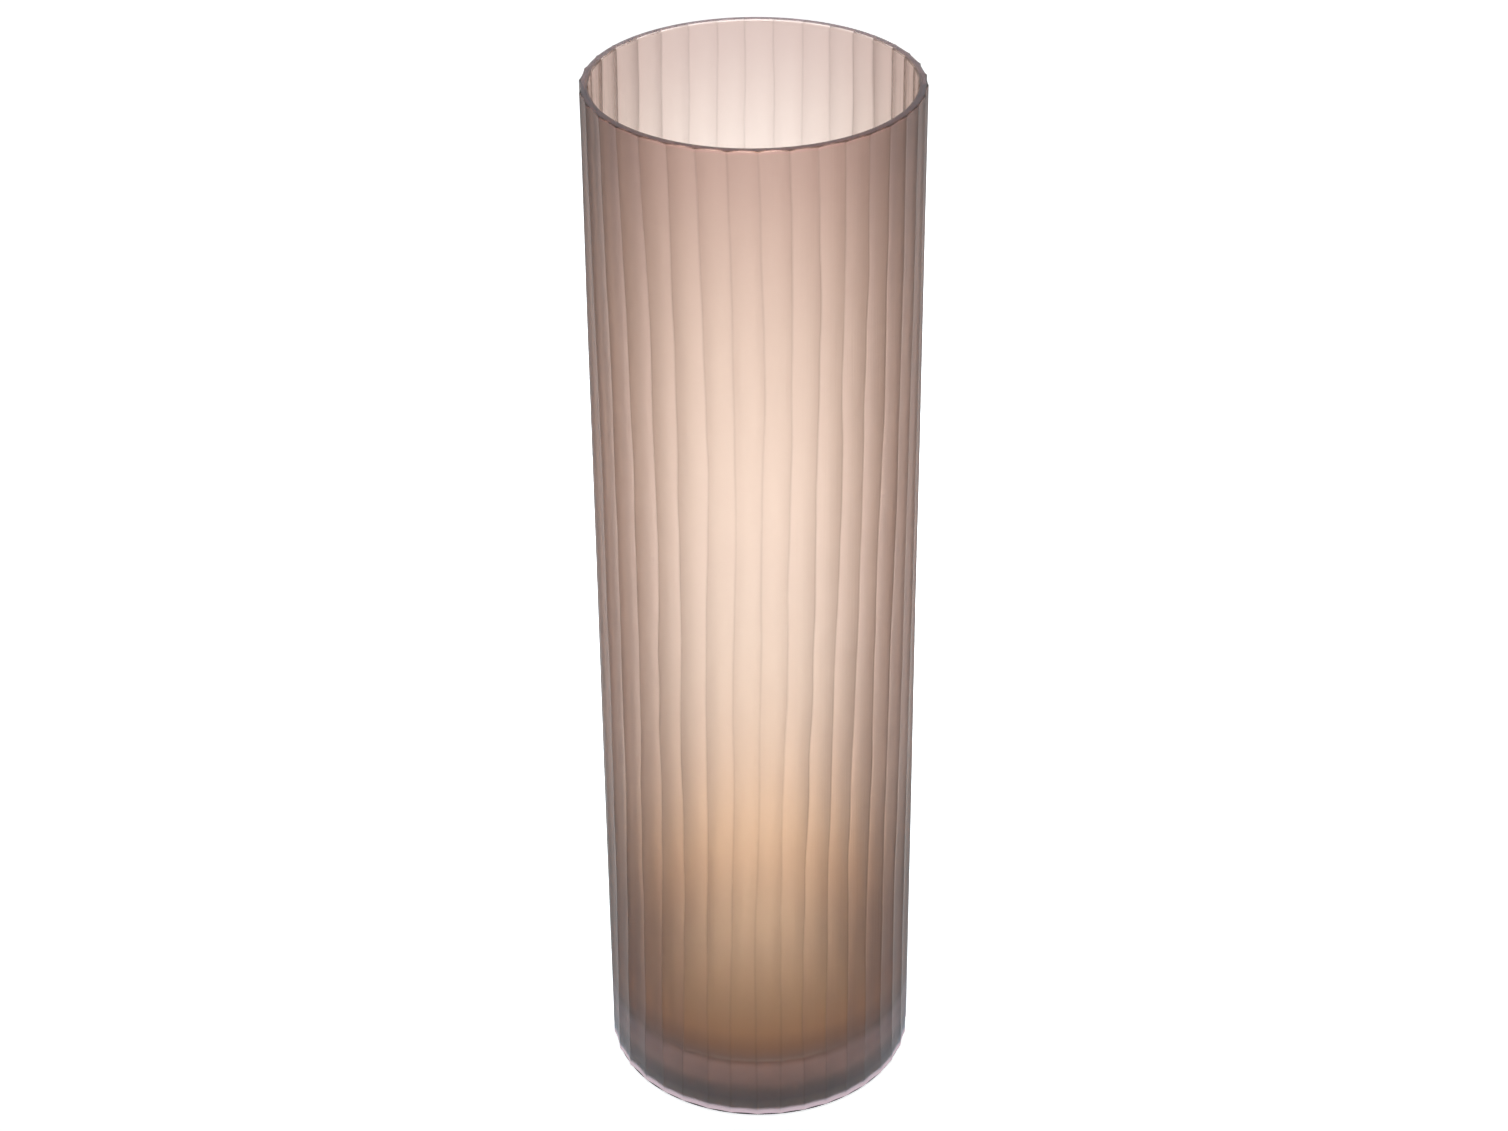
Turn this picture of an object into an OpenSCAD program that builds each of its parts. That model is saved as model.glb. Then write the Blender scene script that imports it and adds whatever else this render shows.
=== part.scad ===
// Tall cylinder vase in two-layer (cased) glass.
// A thin amber layer lines a smoke-grey casing that also forms the thick foot.
// The outside is cut from rim to foot with shallow hollow flutes.

/* [Vase] */
// Height from the ground underside to the flat rim
vase_h = 600; // [300:10:700]
// Diameter over the ridges between the flutes
vase_d = 175; // [120:1:220]
// Wall thickness at a ridge, both layers together
wall_t = 5; // [4:0.2:8]
// Solid glass between the inside floor and the underside
base_t = 34; // [20:1:60]
// Radius of the corner between the inside wall and the inside floor
floor_r = 9; // [4:1:20]

/* [Layers] */
// Thickness of the amber inner layer
inner_t = 1.6; // [1:0.1:2]

/* [Flutes] */
// Number of flutes cut round the outside
flute_n = 36; // [28:1:44]
// Depth of a flute's hollow below its two ridges
flute_hollow = 0.55; // [0.3:0.05:0.8]
// Width of the flat left on a ridge between two flutes
ridge_w = 0.4; // [0.2:0.1:1]

/* [Edges] */
// Bevel along the outer and inner edge of the rim
rim_bevel = 0.6; // [0.2:0.1:0.9]
// Bevel round the foot
foot_bevel = 1.4; // [0.5:0.1:3]
// Width of the flat ring that the foot stands on
stand_w = 22; // [12:1:35]
// Depth of the shallow hollow ground inside that ring
hollow_depth = 1.5; // [0.5:0.1:3]

/* [Hidden] */
$fn = 216;

vase_r = vase_d / 2;
inside_r = vase_r - wall_t;
layer_r = inside_r + inner_t;
layer_z = base_t - inner_t;

// Half the width of one flute, and how far out its two edges lie along its own centre line
flute_half_a = 180 / flute_n - asin(ridge_w / 2 / vase_r);
flute_half_w = vase_r * sin(flute_half_a);
flute_edge = vase_r * cos(flute_half_a);
// Radius of the wheel profile that cuts a hollow of that width and depth
wheel_r = (pow(flute_half_w, 2) + pow(flute_hollow, 2)) / (2 * flute_hollow);
wheel_x = flute_edge - flute_hollow + wheel_r;

// Radius of the sphere that grinds the hollow in the underside
stand_inner_r = vase_r - foot_bevel - stand_w;
dish_r = (pow(stand_inner_r, 2) + pow(hollow_depth, 2)) / (2 * hollow_depth);
dish_fn = 720;

spare = 1;

// Smoke glass: the fluted outside, the solid foot and a pocket for the inner layer
module outer_casing() {
    color([0.55, 0.47, 0.47, 0.6])
    difference() {
        intersection() {
            linear_extrude(height = vase_h) fluted_outline();
            bevelled_blank();
        }
        pot(layer_r, layer_z, floor_r + inner_t, vase_h + spare);
        underside_hollow();
    }
}

// Amber glass: a thin beaker that fills the pocket in the casing, with the inside of the vase in it
module inner_layer() {
    color([0.75, 0.53, 0.36, 0.6])
    difference() {
        pot(layer_r, layer_z, floor_r + inner_t, vase_h);
        pot(inside_r, base_t, floor_r, vase_h + spare);
        rim_inner_bevel();
    }
}

// The outline of the vase from above: a circle with one hollow cut for each flute
module fluted_outline() {
    difference() {
        circle(r = vase_r);
        for (i = [0 : flute_n - 1])
            rotate((i + 0.5) * 360 / flute_n)
            translate([wheel_x, 0])
            circle(r = wheel_r, $fn = 360);
    }
}

// The turned blank: the full cylinder with the outer rim and the foot bevelled
module bevelled_blank() {
    rotate_extrude()
    polygon([
        [0, 0],
        [vase_r - foot_bevel, 0],
        [vase_r, foot_bevel],
        [vase_r, vase_h - rim_bevel],
        [vase_r - rim_bevel, vase_h],
        [0, vase_h]
    ]);
}

// A solid round pot with a rounded bottom corner, from z_floor up to z_top
module pot(r, z_floor, corner_r, z_top) {
    rotate_extrude() {
        translate([0, z_floor + corner_r])
            square([r, z_top - z_floor - corner_r]);
        translate([0, z_floor])
            square([r - corner_r, corner_r + spare]);
        translate([r - corner_r, z_floor + corner_r])
            circle(r = corner_r, $fn = 96);
    }
}

// The bevel along the inner edge of the rim
module rim_inner_bevel() {
    rotate_extrude()
    polygon([
        [0, vase_h - rim_bevel],
        [inside_r, vase_h - rim_bevel],
        [inside_r + rim_bevel + spare, vase_h + spare],
        [0, vase_h + spare]
    ]);
}

// The shallow dish under the foot, so that the vase stands on a ring
module underside_hollow() {
    translate([0, 0, hollow_depth - dish_r])
        sphere(r = dish_r, $fn = dish_fn);
}

outer_casing();
inner_layer();
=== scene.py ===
import math

import bmesh
import bpy
from mathutils import Matrix, Vector, noise


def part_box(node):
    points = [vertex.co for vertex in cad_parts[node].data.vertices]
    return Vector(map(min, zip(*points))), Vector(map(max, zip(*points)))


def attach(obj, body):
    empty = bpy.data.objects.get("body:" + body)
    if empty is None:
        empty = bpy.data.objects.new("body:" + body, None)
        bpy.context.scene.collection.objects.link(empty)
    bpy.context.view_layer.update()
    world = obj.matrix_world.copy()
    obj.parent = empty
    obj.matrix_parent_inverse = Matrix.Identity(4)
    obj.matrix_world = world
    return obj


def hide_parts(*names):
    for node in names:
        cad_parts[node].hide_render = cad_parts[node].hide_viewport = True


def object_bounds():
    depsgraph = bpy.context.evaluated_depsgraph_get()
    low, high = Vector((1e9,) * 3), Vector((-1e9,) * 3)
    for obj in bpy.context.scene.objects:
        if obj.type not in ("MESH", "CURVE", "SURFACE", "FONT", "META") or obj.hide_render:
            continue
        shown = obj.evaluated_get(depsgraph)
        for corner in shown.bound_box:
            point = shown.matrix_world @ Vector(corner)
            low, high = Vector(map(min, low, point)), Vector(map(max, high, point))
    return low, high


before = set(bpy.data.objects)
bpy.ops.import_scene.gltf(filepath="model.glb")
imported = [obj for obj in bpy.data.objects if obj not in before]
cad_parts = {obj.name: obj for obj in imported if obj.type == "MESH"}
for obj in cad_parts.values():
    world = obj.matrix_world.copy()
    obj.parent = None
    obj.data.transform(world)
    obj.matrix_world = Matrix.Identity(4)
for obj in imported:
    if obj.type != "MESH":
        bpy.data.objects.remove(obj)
cad_low, cad_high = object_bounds()


# Camera: a short telephoto lens held above the mouth and tipped down at the vase.
# It is turned a little about its own axis, so the vase leans very slightly in the frame.
look_at = Vector((-0.0015, 0.0, 0.317))
camera_distance = 1.711
camera_height_angle = math.radians(31.29)
camera_roll = math.radians(-0.43)
camera = bpy.data.objects.new("camera", bpy.data.cameras.new("camera"))
camera.data.sensor_width = 36.0
camera.data.lens = 74.83
back = Vector((0.0, -math.cos(camera_height_angle), math.sin(camera_height_angle)))
camera.matrix_world = (
    Matrix.Translation(look_at + back * camera_distance)
    @ back.to_track_quat("Z", "Y").to_matrix().to_4x4()
    @ Matrix.Rotation(camera_roll, 4, "Z")
)
bpy.context.scene.collection.objects.link(camera)
bpy.context.scene.camera = camera


# Outer casing: smoke-grey glass gathered thickly over the amber layer, with the solid foot in it.
# It is blown in one with the layer, then a cutter grinds the flutes down it by eye on a wheel.
# The outside is left satin, and the rim and the foot's edge are ground round.
vase_radius = cad_high.x
vase_height = cad_high.z
flute_count = 36
flute_hollow = 0.00055
hollow_varies = 0.4
slow_waver = 0.9
quick_waver = 0.5
ridge_wear = 0.00008
ridge_snap = 1e-4
steps_per_flute = 12
step_crowding = 0.8
wall_rows = 120
foot_bevel = 0.0014
foot_bevel_width = 0.0013
rim_bevel = 0.0005
rim_bevel_width = 0.0012
ground_edge = 0.0001
stand_ring_radius = 0.0641
underside_hollow = 0.0015
underside_rings = 8
fuse_line = 0.0001
layer_low, layer_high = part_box("inner_layer")
layer_radius = layer_high.x
layer_corner = 0.0106
pocket_radius = layer_radius + fuse_line
pocket_floor = layer_low.z - fuse_line
pocket_margin = 0.0005
outside_radius = pocket_radius + 0.0008
flat_rim_height = vase_height - 0.00005
worn_ring_radius = 0.08
worn_ring_height = 0.0004
past_bevel = 1.1
sharp_edge = math.radians(32.0)
density_headroom = 1.25
smoke_absorbs = (7.0, 8.4, 8.0)
polished_roughness = 0.04
worn_roughness = 0.9
satin_roughness = 0.5
satin_varies = 0.12
streak_stretch = (1.0, 1.0, 0.02)
slant_start = 0.12
slant_end = 0.58
# The width of the painted dark line along each ridge, and how dark that painted shade is.
painted_ridge_line_width = 0.0011
painted_ridge_shade_depth = 0.2
# The colour for the painted shade along the ridges.
painted_shade_black = (0.0, 0.0, 0.0, 1.0)
# Painted light and shadow at the foot: the colour of a bright painted band over its lowest few
# millimetres, also used a little on the flat of the rim, then the painted shadow line on the bevel,
# and how strong the band is and where it fades out.
chalk_and_painted_foot_light = (0.72, 0.57, 0.63, 1.0)
painted_foot_shadow_line = (0.02, 0.015, 0.018, 1.0)
painted_foot_band_share = 0.95
painted_foot_band_full = 0.0030
painted_foot_band_gone = 0.0062
rim_chalk_share = 0.2
# How far the ridges stray, in degrees: all round, then by how far forward a ridge lies, then by
# how far right. Each row is the start at the rim, the slope, the bow and the twist on the way down.
cutter_drift = (
    (-3.2, 6.2, -13.0, 4.1),
    (4.4, 6.7, -25.1, 18.4),
    (-0.7, -8.4, -7.0, 12.4),
)
# The skin's tint where it is seen square on, by share of the vase's height. It is partly the smoke
# glass's own colour and partly painted light and shade: dark painted bands low in the foot and just
# above the inner floor, lightest through the middle of the height and darker towards the rim.
smoke_tint_and_painted_shade = (
    (0.006, (0.80, 0.88, 1.0)),
    (0.01, (0.54, 0.74, 0.92)),
    (0.02, (0.30, 0.38, 0.58)),
    (0.03, (0.40, 0.42, 0.56)),
    (0.04, (0.92, 0.80, 0.88)),
    (0.06, (0.95, 0.80, 0.80)),
    (0.07, (0.52, 0.34, 0.31)),
    (0.084, (0.57, 0.35, 0.26)),
    (0.1, (0.78, 0.51, 0.35)),
    (0.133, (0.66, 0.49, 0.40)),
    (0.2, (0.58, 0.48, 0.48)),
    (0.33, (0.72, 0.66, 0.70)),
    (0.4, (0.78, 0.71, 0.76)),
    (0.53, (0.86, 0.79, 0.84)),
    (0.66, (0.88, 0.81, 0.86)),
    (0.83, (0.81, 0.74, 0.78)),
    (0.92, (0.76, 0.67, 0.71)),
    (0.98, (0.69, 0.585, 0.635)),
    (0.9985, (0.69, 0.585, 0.635)),
    (0.999, (0.85, 0.58, 0.68)),
)
# What is left of that tint where the glass is seen at a slant, and so through more of it. Part of
# it is painted shade, which darkens the sides most near the foot and towards the rim, and hardly at
# all through the middle of the height.
slant_depth_and_painted_shade = (
    (0.006, (0.50, 0.50, 0.54)),
    (0.03, (0.42, 0.40, 0.44)),
    (0.05, (0.32, 0.26, 0.30)),
    (0.13, (0.32, 0.21, 0.23)),
    (0.2, (0.50, 0.36, 0.32)),
    (0.27, (0.74, 0.62, 0.58)),
    (0.36, (1.0, 0.92, 0.96)),
    (0.5, (1.0, 0.93, 0.98)),
    (0.72, (1.0, 0.93, 0.98)),
    (0.83, (0.92, 0.85, 0.90)),
    (0.98, (0.48, 0.43, 0.45)),
)


class Wire:
    """A shader socket that sums and products can be written with in Python."""

    tree = None

    def __init__(self, socket):
        self.socket = socket

    @staticmethod
    def node(kind, settings=None, inputs=None, output=0):
        made = Wire.tree.nodes.new(kind)
        for name, value in (settings or {}).items():
            if name == "stops":
                while len(made.color_ramp.elements) < len(value):
                    made.color_ramp.elements.new(0.5)
                for stop, (place, colour) in zip(made.color_ramp.elements, value):
                    stop.position = place
                    stop.color = (*colour, 1.0)
            else:
                setattr(made, name, value)
        for name, value in (inputs or {}).items():
            if isinstance(value, Wire):
                Wire.tree.links.new(value.socket, made.inputs[name])
            else:
                made.inputs[name].default_value = value
        return Wire(made.outputs[output]) if made.outputs else None

    def math(self, operation, other, flip=False):
        pair = (other, self) if flip else (self, other)
        return Wire.node("ShaderNodeMath", {"operation": operation}, {0: pair[0], 1: pair[1]})

    def __add__(self, other):
        return self.math("ADD", other)

    def __sub__(self, other):
        return self.math("SUBTRACT", other)

    def __rsub__(self, other):
        return self.math("SUBTRACT", other, flip=True)

    def __mul__(self, other):
        return self.math("MULTIPLY", other)

    def __gt__(self, other):
        return self.math("GREATER_THAN", other)

    __radd__ = __add__
    __rmul__ = __mul__


def new_material(name):
    material = bpy.data.materials.new(name)
    material.use_nodes = True
    material.node_tree.nodes.clear()
    Wire.tree = material.node_tree
    return material


def stretched(place, by):
    return Wire.node("ShaderNodeVectorMath", {"operation": "MULTIPLY"}, {0: place, 1: by})


def point_on_vase():
    """The point itself, its height above the table and its distance from the vase's axis."""
    place = Wire.node("ShaderNodeTexCoord", None, None, "Object")
    height = Wire.node("ShaderNodeSeparateXYZ", None, {"Vector": place}, "Z")
    level = stretched(place, (1.0, 1.0, 0.0))
    from_axis = Wire.node("ShaderNodeVectorMath", {"operation": "LENGTH"}, {0: level}, "Value")
    return place, height, from_axis


def by_height(height, tints):
    """The tint at this height, blended between the stops above and below it."""
    share = height * (1.0 / vase_height)
    return Wire.node("ShaderNodeValToRGB", {"stops": tints}, {"Fac": share})


def ease(value, start, end, before, after):
    """Runs smoothly from before to after while the value goes from start to end."""
    return Wire.node("ShaderNodeMapRange", {"interpolation_type": "SMOOTHSTEP"}, {
        "Value": value, "From Min": start, "From Max": end, "To Min": before, "To Max": after,
    })


def mixed(share, under, over, how="MIX"):
    settings = {"data_type": "RGBA", "blend_type": how}
    return Wire.node("ShaderNodeMix", settings, {0: share, 6: under, 7: over}, 2)


def glass(tint, roughness, normal, bare, absorbs_per_metre, ground, matt_colour):
    """Glass skin over a body that absorbs each colour at its own rate. Where bare is 0 the skin
    is fused to the next piece, so nothing bends or shines there. Where ground is above 0 the glass
    gives way to a rough, opaque coat in the colour given after it: a little of it on the flat of
    the rim, and at the foot a painted band of light over a painted shadow line."""
    density = max(absorbs_per_metre) * density_headroom
    body = [1.0 - rate / density for rate in absorbs_per_metre]
    skin = Wire.node("ShaderNodeBsdfPrincipled", None, {
        "Base Color": tint,
        "Roughness": roughness,
        "IOR": 1.5,
        "Transmission Weight": 1.0,
        "Alpha": bare,
        "Normal": normal,
    })
    matt_coat = Wire.node("ShaderNodeBsdfPrincipled", None, {
        "Base Color": matt_colour,
        "Roughness": worn_roughness,
        "Normal": normal,
    })
    surface = Wire.node("ShaderNodeMixShader", None, {0: ground, 1: skin, 2: matt_coat})
    inside = Wire.node("ShaderNodeVolumeAbsorption", None, {
        "Color": (*body, 1.0),
        "Density": density,
    })
    Wire.node("ShaderNodeOutputMaterial", None, {"Surface": surface, "Volume": inside})


def half_outline(shape, points):
    """Joins (radius, height) points into an open line in the plane y = 0."""
    verts = [shape.verts.new((radius, 0.0, height)) for radius, height in points]
    return verts, [shape.edges.new(pair) for pair in zip(verts, verts[1:])]


def round_corner(shape, corner, radius):
    bmesh.ops.bevel(
        shape, geom=[corner], offset=radius, affect="VERTICES",
        segments=10, profile=0.5, material=-1,
    )


def turn_round(shape, steps):
    """Spins the open line a full turn about the vase's axis and closes it on the axis."""
    bmesh.ops.spin(
        shape, geom=shape.verts[:] + shape.edges[:], cent=(0.0, 0.0, 0.0),
        axis=(0.0, 0.0, 1.0), angle=2.0 * math.pi, steps=steps, use_merge=True,
    )
    bmesh.ops.remove_doubles(shape, verts=shape.verts[:], dist=1e-6)
    bmesh.ops.recalc_face_normals(shape, faces=shape.faces[:])


def make_piece(shape, name, material):
    for face in shape.faces:
        face.smooth = True
    for edge in shape.edges:
        edge.smooth = edge.calc_face_angle(0.0) < sharp_edge
    mesh = bpy.data.meshes.new(name)
    shape.to_mesh(mesh)
    shape.free()
    piece = bpy.data.objects.new(name, mesh)
    bpy.context.scene.collection.objects.link(piece)
    mesh.materials.append(material)
    return piece


def waver(ridge, fall, ridge_step, fall_scale, seed):
    """A smooth random share, between -1 and 1, that changes by ridge and on the way down."""
    return noise.noise(Vector((ridge * ridge_step, fall * fall_scale, seed)))


def ridge_drift(ridge, fall):
    """How far a ridge strays from its even place, in degrees, as it runs down from the rim."""
    angle = 2.0 * math.pi * ridge / flute_count
    shares = (1.0, -math.sin(angle), math.cos(angle))
    drift = 0.0
    for share, (start, slope, bow, twist) in zip(shares, cutter_drift):
        drift += share * (start + slope * fall + bow * fall ** 2 + twist * fall ** 3)
    drift += slow_waver * waver(ridge, fall, ridge_step=2.3, fall_scale=6.0, seed=1.5)
    return drift + quick_waver * waver(ridge, fall, ridge_step=5.1, fall_scale=17.0, seed=6.5)


def fluted(corner):
    """Moves one point of the plain outside onto the flutes, and says how far the nearest ridge is.
    The flat of the rim and the underside keep their radius, because they are ground round."""
    radius = math.hypot(corner.x, corner.y)
    fall = 1.0 - corner.z / vase_height
    turn = math.atan2(corner.y, corner.x) / (2.0 * math.pi) * flute_count
    ridge = math.floor(turn + ridge_snap)
    across = turn - ridge
    # The points crowd towards the ridges, where the outside turns most sharply.
    across -= step_crowding * math.sin(2.0 * math.pi * across) / (2.0 * math.pi)
    left = ridge + ridge_drift(ridge % flute_count, fall) * flute_count / 360.0
    right = ridge + 1 + ridge_drift((ridge + 1) % flute_count, fall) * flute_count / 360.0
    angle = (left + (right - left) * across) * 2.0 * math.pi / flute_count
    half_width = (right - left) * math.pi / flute_count
    chord = math.cos(half_width) / math.cos(half_width * (2.0 * across - 1.0))
    worn = ridge_wear * (1.0 + waver(ridge, fall, ridge_step=3.3, fall_scale=6.0, seed=2.5))
    depth = flute_hollow * (right - left) ** 2
    depth *= 1.0 + hollow_varies * waver(ridge, fall, ridge_step=4.7, fall_scale=2.5, seed=8.5)
    hollow = depth * (1.0 - (2.0 * across - 1.0) ** 2)
    if ground_edge < corner.z < vase_height - ground_edge:
        radius += vase_radius * (chord - 1.0) - hollow - worn
    gap = 2.0 * half_width * vase_radius * min(across, 1.0 - across)
    return Vector((radius * math.cos(angle), radius * math.sin(angle), corner.z)), gap


shape = bmesh.new()
underside = []
for ring in range(underside_rings + 1):
    out = ring / underside_rings
    underside.append((stand_ring_radius * out, underside_hollow * (1.0 - out ** 2)))
verts, edges = half_outline(shape, underside + [
    (vase_radius - foot_bevel_width, 0.0),
    (vase_radius, foot_bevel),
    (vase_radius, vase_height - rim_bevel),
    (vase_radius - rim_bevel_width, vase_height),
    (pocket_radius, vase_height),
    (pocket_radius, pocket_floor),
    (0.0, pocket_floor),
])
wall = edges[len(underside) + 1]
round_corner(shape, verts[-2], layer_corner)
bmesh.ops.subdivide_edges(shape, edges=[wall], cuts=wall_rows - 1)
turn_round(shape, flute_count * steps_per_flute)
gap_layer = shape.verts.layers.float.new("ridge_gap")
for vert in shape.verts:
    vert[gap_layer] = 1.0
    if math.hypot(vert.co.x, vert.co.y) > outside_radius:
        vert.co, vert[gap_layer] = fluted(vert.co)

smoke = new_material("smoke_glass")
place, height, from_axis = point_on_vase()
outside = from_axis > outside_radius
below_rim = 1.0 - (height > vase_height - rim_bevel * past_bevel)
above_foot = height > foot_bevel * past_bevel
satin = outside * below_rim * above_foot
flat_rim = height > flat_rim_height
in_pocket = (1.0 - outside) * (height > pocket_floor - pocket_margin) * (1.0 - flat_rim)
worn_ring = (1.0 - (height > worn_ring_height)) * (from_axis > worn_ring_radius)
streaks = Wire.node("ShaderNodeTexNoise", None, {
    "Vector": stretched(place, streak_stretch), "Scale": 700.0, "Detail": 3.0, "Roughness": 0.6,
})
satin_adds = satin_roughness - polished_roughness + satin_varies * (streaks - 0.5)
roughness = polished_roughness + worn_roughness * worn_ring + satin * satin_adds
grain = Wire.node("ShaderNodeBump", None, {
    "Height": streaks * satin, "Strength": 0.5, "Distance": 0.00006,
})
# The tint, partly painted light and shade by height, deepens where the glass is seen at a slant;
# part of that deepening is painted shade on the sides.
slant = Wire.node("ShaderNodeLayerWeight", None, {"Blend": 0.5}, "Facing")
slanted = ease(slant, slant_start, slant_end, 0.0, 1.0)
tint = mixed(slanted, by_height(height, smoke_tint_and_painted_shade), by_height(height, slant_depth_and_painted_shade), "MULTIPLY")
ridge_gap = Wire.node("ShaderNodeAttribute", {"attribute_name": "ridge_gap"}, None, "Fac")
# Painted shade: a thin dark line is painted into the tint along each ridge of the satin outside.
painted_ridge_line = painted_ridge_shade_depth * ease(ridge_gap, 0.0, painted_ridge_line_width, 1.0, 0.0) * satin
tint = mixed(painted_ridge_line, tint, painted_shade_black, "MULTIPLY")
# Painted light and shadow at the foot: over its lowest few millimetres the glass gives way to an
# opaque coat, dark as a painted shadow line on the bevel and bright as a painted band of light
# above it. The flat of the rim gets a little of the same bright coat.
painted_foot_band = ease(height, painted_foot_band_full, painted_foot_band_gone, painted_foot_band_share, 0.0) * outside
ground = painted_foot_band + rim_chalk_share * flat_rim
matt_colour = mixed(height > foot_bevel, painted_foot_shadow_line, chalk_and_painted_foot_light)
glass(tint, roughness, grain, 1.0 - in_pocket, smoke_absorbs, ground, matt_colour)

outer_casing = make_piece(shape, "casing", smoke)
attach(outer_casing, "root")
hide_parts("outer_casing")


# Inner layer: a thin beaker of amber-brown glass, the first gather that the vase is blown from.
# The casing is fused to it all over. Its inside is left smooth and glossy, as it came from the
# fire. Its tint is darkest round the floor and a little darker again towards the rim: partly the
# amber's own colour and partly painted shade.
layer_rim_bevel = 0.0006
inside_radius = 0.0825
inside_corner = 0.009
inside_floor = 0.034
layer_steps = 288
fire_roughness = 0.03
fire_varies = 0.03
amber_absorbs = (100.0, 175.0, 260.0)
rim_chalk = (0.72, 0.56, 0.60, 1.0)
# The skin's tint, by share of the vase's height: partly the amber's own colour and partly painted
# shade, darkest round the floor, lightest through the middle and a little darker towards the rim.
amber_tint_and_painted_shade = (
    (0.058, (0.95, 0.70, 0.42)),
    (0.062, (0.30, 0.20, 0.14)),
    (0.073, (0.30, 0.20, 0.14)),
    (0.08, (0.44, 0.30, 0.18)),
    (0.12, (0.62, 0.52, 0.38)),
    (0.2, (0.68, 0.64, 0.57)),
    (0.33, (0.83, 0.84, 0.82)),
    (0.4, (0.89, 0.91, 0.91)),
    (0.5, (0.98, 0.99, 0.99)),
    (0.7, (0.98, 0.98, 0.98)),
    (0.98, (0.88, 0.81, 0.82)),
)

shape = bmesh.new()
verts = half_outline(shape, [
    (0.0, layer_low.z),
    (layer_radius, layer_low.z),
    (layer_radius, vase_height),
    (inside_radius + layer_rim_bevel, vase_height),
    (inside_radius, vase_height - layer_rim_bevel),
    (inside_radius, inside_floor),
    (0.0, inside_floor),
])[0]
outer_corner, inner_corner = verts[1], verts[-2]
round_corner(shape, outer_corner, layer_corner)
round_corner(shape, inner_corner, inside_corner)
turn_round(shape, layer_steps)

amber = new_material("amber_glass")
place, height, from_axis = point_on_vase()
ripple = Wire.node("ShaderNodeTexNoise", None, {"Vector": place, "Scale": 18.0, "Detail": 2.0})
blown = Wire.node("ShaderNodeBump", None, {"Height": ripple, "Strength": 0.3, "Distance": 0.0005})
# The fused side is the one outside the rounded middle line of the beaker's wall and floor.
wall_middle = (inside_radius + layer_radius) / 2.0
floor_middle = (inside_floor + layer_low.z) / 2.0
corner_middle = (layer_corner + inside_corner) / 2.0
past_wall = (from_axis - (wall_middle - corner_middle)).math("MAXIMUM", 0.0)
past_floor = ((floor_middle + corner_middle) - height).math("MAXIMUM", 0.0)
from_middle = Wire.node("ShaderNodeMath", {"operation": "SQRT"}, {
    0: past_wall * past_wall + past_floor * past_floor,
})
flat_rim = height > flat_rim_height
fused = (from_middle > corner_middle) * (1.0 - flat_rim)
# The amber tint by height, partly painted shade.
tint = by_height(height, amber_tint_and_painted_shade)
roughness = fire_roughness + fire_varies * ripple
ground = rim_chalk_share * flat_rim
glass(tint, roughness, blown, 1.0 - fused, amber_absorbs, ground, rim_chalk)

inner_layer = make_piece(shape, "lining", amber)
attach(inner_layer, "root")
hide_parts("inner_layer")


# Studio: a plain white light table that runs out of sight, in a bright even room. A long soft
# lamp hangs over the table behind the vase, and a small panel shines up through the table top.
table_size = 30.0
table_drop = 0.0003
table_white = (0.7, 0.7, 0.7, 1.0)
table_milk = (0.5, 0.5, 0.5, 1.0)
table_glow = 0.35
room_glow = 0.6
pure_white = (1.0, 1.0, 1.0, 1.0)
daylight = (0.8, 0.95, 1.0)
bounces = 32

shape = bmesh.new()
bmesh.ops.create_grid(shape, x_segments=1, y_segments=1, size=table_size / 2.0)
bmesh.ops.translate(shape, verts=shape.verts[:], vec=(0.0, 0.0, -table_drop))
white = new_material("white_table")
matt = Wire.node("ShaderNodeBsdfDiffuse", None, {"Color": table_white})
milky = Wire.node("ShaderNodeBsdfTranslucent", None, {"Color": table_milk})
lit = Wire.node("ShaderNodeEmission", None, {"Color": pure_white, "Strength": table_glow})
unlit = Wire.node("ShaderNodeAddShader", None, {0: matt, 1: milky})
table_top = Wire.node("ShaderNodeAddShader", None, {0: unlit, 1: lit})
Wire.node("ShaderNodeOutputMaterial", None, {"Surface": table_top})
table = make_piece(shape, "table", white)

room = bpy.data.worlds.new("room")
room.use_nodes = True
room.node_tree.nodes.clear()
Wire.tree = room.node_tree
sky = Wire.node("ShaderNodeBackground", None, {"Color": pure_white, "Strength": room_glow})
Wire.node("ShaderNodeOutputWorld", None, {"Surface": sky})
bpy.context.scene.world = room


def soft_lamp(name, width, length, watts, location):
    lamp = bpy.data.objects.new(name, bpy.data.lights.new(name, "AREA"))
    lamp.data.shape = "RECTANGLE"
    lamp.data.size = width
    lamp.data.size_y = length
    lamp.data.color = daylight
    lamp.data.energy = watts
    lamp.location = location
    bpy.context.scene.collection.objects.link(lamp)
    return lamp


pool = soft_lamp("pool", width=0.18, length=0.95, watts=3.6, location=(0.0, 0.76, 0.9))
pool.data.spread = math.radians(50.0)
pool.visible_camera = False
pool.visible_glossy = False
pool.visible_transmission = False
panel = soft_lamp("panel", width=0.09, length=0.30, watts=1.05, location=(0.0, 0.18, -0.06))
panel.rotation_euler = (math.pi, 0.0, 0.0)

bpy.context.scene.cycles.max_bounces = bounces
bpy.context.scene.cycles.transmission_bounces = bounces
bpy.context.scene.cycles.transparent_max_bounces = bounces
bpy.context.scene.view_settings.view_transform = "Standard"
